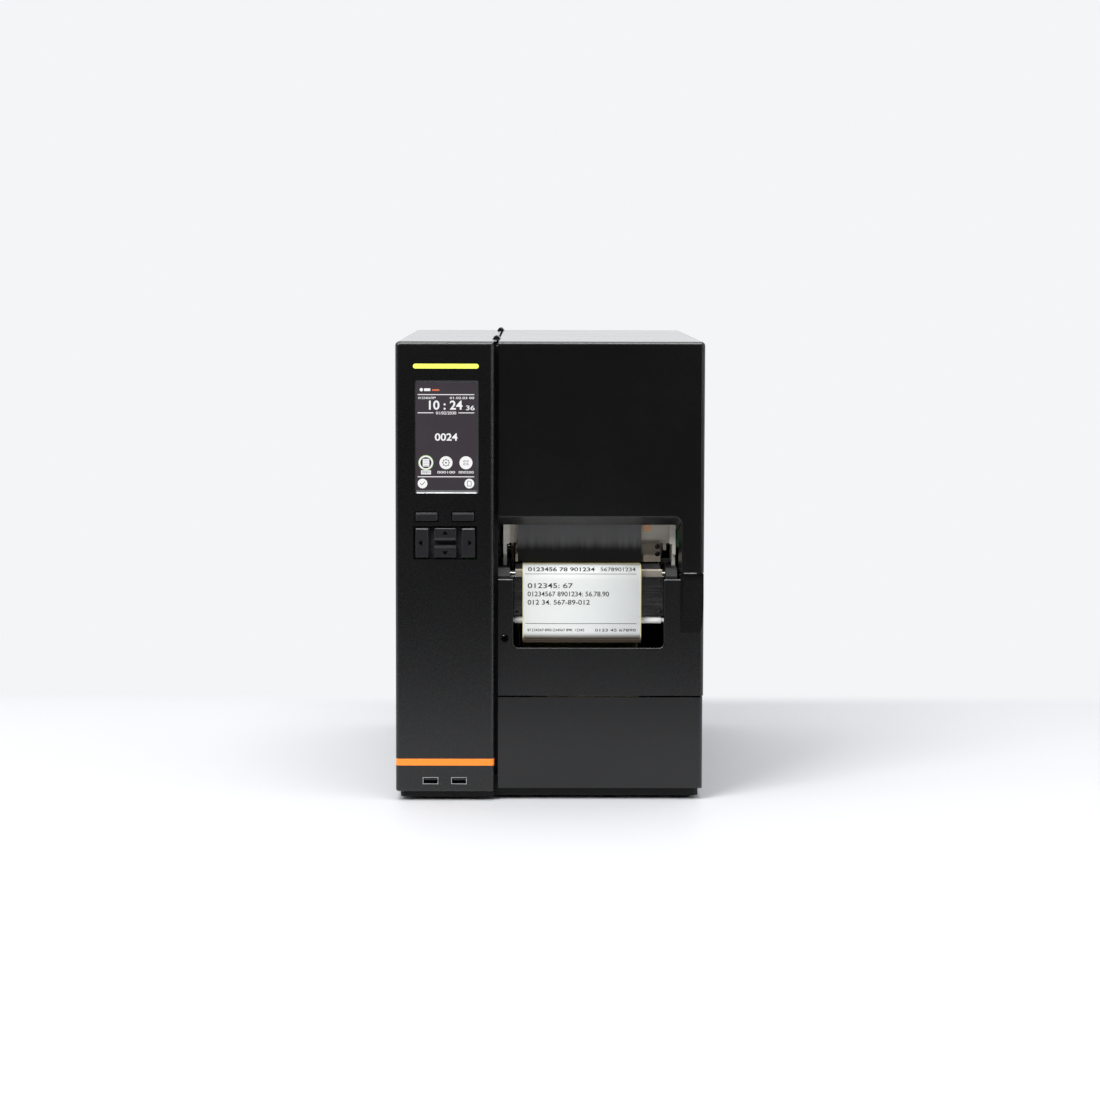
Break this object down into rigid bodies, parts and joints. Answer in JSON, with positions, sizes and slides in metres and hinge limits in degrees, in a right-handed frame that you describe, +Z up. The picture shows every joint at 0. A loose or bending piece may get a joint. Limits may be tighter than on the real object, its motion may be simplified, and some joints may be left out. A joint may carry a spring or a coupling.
{
  "type": "label printer",
  "caption": "Upright industrial label printer: control column on the left, top-hinged media door on the right, print head over a driven roller, ribbon path and inner rewinder.",
  "frame": {"origin": "bottom centre of the printer, on the surface that its feet stand on", "axes": "+X to the right seen from the front, the front faces -Y, +Z up"},
  "size_m": [0.276, 0.5023, 0.4152],
  "materials": {
    "black_cover": "black fine-texture powder coat, satin",
    "black_moulding": "black satin moulding",
    "black_key": "black satin key cap",
    "black_rubber": "matt black rubber",
    "orange_trim": "orange satin strip",
    "light_lens": "lit yellow-green light guide",
    "screen_glass": "dark display glass",
    "screen_rim": "black gloss rim",
    "green_board": "green circuit board",
    "zinc_sheet": "zinc-plated sheet",
    "bright_steel": "ground bright steel",
    "stainless": "stainless sheet, fine grain",
    "polished_steel": "polished steel plate",
    "passivated": "passivated steel sheet, warm grey",
    "head_metal": "anodised aluminium",
    "cast_black": "black painted casting",
    "wall_grey": "dark grey paint",
    "bush_bronze": "sintered bronze",
    "pane_smoke": "smoked clear pane",
    "nylon_black": "black glass-filled nylon",
    "spindle_grey": "mid grey moulding",
    "ribbon_film": "black wax-coated film",
    "label_paper": "white coated label paper on its liner",
    "motor_steel": "black motor case",
    "lever_tan": "tan lever",
    "socket_metal": "bright socket shell"
  },
  "bodies": {
    "frame": {"base_pan": "black_cover", "feet": "black_rubber", "chassis_wall": "wall_grey", "electronics_cover": "black_cover", "front_bezel": "black_moulding", "trim_strip": "orange_trim", "light_bar": "light_lens", "display_frame": "screen_rim", "touch_screen": "screen_glass", "panel_board": "green_board", "usb_ports": "socket_metal", "rear_panel": "black_cover", "power_inlet": "nylon_black", "rear_connectors": "socket_metal", "main_board": "green_board", "power_supply": "zinc_sheet", "platen_motor": "motor_steel", "drive_belt": "black_rubber", "shaft_bushes": "bush_bronze", "spindle_motors": "motor_steel", "hinge_frame_leaves": "zinc_sheet", "hinge_pins": "bright_steel", "lower_front_cover": "black_moulding", "bottom_cover": "black_cover", "tear_bar": "stainless", "guide_plate": "polished_steel", "guide_bar": "bright_steel", "print_frame": "cast_black", "head_frame": "stainless", "ribbon_web": "ribbon_film", "supply_spindle": "nylon_black", "label_web": "label_paper", "sensor_board": "green_board"},
    "door": {"media_door": "black_cover", "door_window": "pane_smoke", "hinge_door_leaves": "zinc_sheet"},
    "head": {"head_carrier": "passivated", "printhead": "head_metal"},
    "latch": {"latch_shaft": "bright_steel", "head_lever": "lever_tan"},
    "platen": {"platen_shaft": "bright_steel", "platen_roller": "black_rubber"},
    "motor_wheel": {"motor_pulley": "nylon_black"},
    "ribbon_supply": {"ribbon_supply_spindle": "spindle_grey", "ribbon_supply_roll": "ribbon_film"},
    "ribbon_rewind": {"ribbon_rewind_spindle": "spindle_grey", "ribbon_rewind_roll": "ribbon_film"},
    "labels": {"label_roll": "label_paper"},
    "rewinder": {"rewind_spindle": "spindle_grey", "rewind_roll": "label_paper"},
    "guard": {"roll_guard": "nylon_black"},
    "guide": {"media_guide": "nylon_black"},
    "damper": {"damper_bar": "bright_steel"},
    "button_select_left": {"select_key_left": "black_key"},
    "button_select_right": {"select_key_right": "black_key"},
    "button_left": {"key_left": "black_key"},
    "button_right": {"key_right": "black_key"},
    "button_up": {"key_up": "black_key"},
    "button_down": {"key_down": "black_key"},
    "rocker": {"power_rocker": "black_key"}
  },
  "joints": [
    {"name": "door_hinge", "type": "hinge", "parent": "frame", "child": "door", "pos_m": [-0.049, 0, 0.412], "axis": [0, -1, 0], "range_deg": [0, 105]},
    {"name": "head_pivot", "type": "hinge", "parent": "frame", "child": "head", "pos_m": [0, -0.15, 0.202], "axis": [-1, 0, 0], "range_deg": [0, 7]},
    {"name": "lever_turn", "type": "hinge", "parent": "frame", "child": "latch", "pos_m": [0, -0.18, 0.256], "axis": [1, 0, 0], "range_deg": [0, 90.5]},
    {"name": "platen_turn", "type": "hinge", "parent": "frame", "child": "platen", "pos_m": [0, -0.214, 0.201], "axis": [1, 0, 0], "continuous": true},
    {"name": "motor_pulley_turn", "type": "hinge", "parent": "frame", "child": "motor_wheel", "pos_m": [0, -0.15, 0.16], "axis": [1, 0, 0], "continuous": true},
    {"name": "ribbon_supply_turn", "type": "hinge", "parent": "frame", "child": "ribbon_supply", "pos_m": [0, -0.045, 0.32507], "axis": [1, 0, 0], "continuous": true},
    {"name": "ribbon_rewind_turn", "type": "hinge", "parent": "frame", "child": "ribbon_rewind", "pos_m": [0, -0.15, 0.32992], "axis": [1, 0, 0], "continuous": true},
    {"name": "label_roll_turn", "type": "hinge", "parent": "frame", "child": "labels", "pos_m": [0, 0.13, 0.205], "axis": [1, 0, 0], "continuous": true},
    {"name": "rewind_turn", "type": "hinge", "parent": "frame", "child": "rewinder", "pos_m": [0, -0.14, 0.088], "axis": [1, 0, 0], "continuous": true},
    {"name": "roll_guard_slide", "type": "slide", "parent": "frame", "child": "guard", "axis": [1, 0, 0], "range_m": [0, 0.01]},
    {"name": "media_guide_slide", "type": "slide", "parent": "frame", "child": "guide", "axis": [1, 0, 0], "range_m": [0, 0.012]},
    {"name": "damper_swing", "type": "hinge", "parent": "frame", "child": "damper", "pos_m": [0, -0.04, 0.238], "axis": [-1, 0, 0], "range_deg": [0, 25], "stiffness_Nm_per_rad": 0.4, "springref_deg": -20.05},
    {"name": "press_select_left", "type": "slide", "parent": "frame", "child": "button_select_left", "axis": [0, 1, 0], "range_m": [0, 0.0008], "stiffness_N_per_m": 400},
    {"name": "press_select_right", "type": "slide", "parent": "frame", "child": "button_select_right", "axis": [0, 1, 0], "range_m": [0, 0.0008], "stiffness_N_per_m": 400},
    {"name": "press_left", "type": "slide", "parent": "frame", "child": "button_left", "axis": [0, 1, 0], "range_m": [0, 0.0008], "stiffness_N_per_m": 400},
    {"name": "press_right", "type": "slide", "parent": "frame", "child": "button_right", "axis": [0, 1, 0], "range_m": [0, 0.0008], "stiffness_N_per_m": 400},
    {"name": "press_up", "type": "slide", "parent": "frame", "child": "button_up", "axis": [0, 1, 0], "range_m": [0, 0.0008], "stiffness_N_per_m": 400},
    {"name": "press_down", "type": "slide", "parent": "frame", "child": "button_down", "axis": [0, 1, 0], "range_m": [0, 0.0008], "stiffness_N_per_m": 400},
    {"name": "rocker_tilt", "type": "hinge", "parent": "frame", "child": "rocker", "pos_m": [0, 0.245, 0.052], "axis": [1, 0, 0], "range_deg": [0, 16]}
  ],
  "couplings": [
    {"joint": "lever_turn", "follows": "head_pivot", "ratio": 12.857},
    {"joint": "platen_turn", "follows": "label_roll_turn", "ratio": 9},
    {"joint": "motor_pulley_turn", "follows": "label_roll_turn", "ratio": 18},
    {"joint": "rewind_turn", "follows": "label_roll_turn", "ratio": -2.1429},
    {"joint": "ribbon_rewind_turn", "follows": "ribbon_supply_turn", "ratio": 1.8}
  ]
}
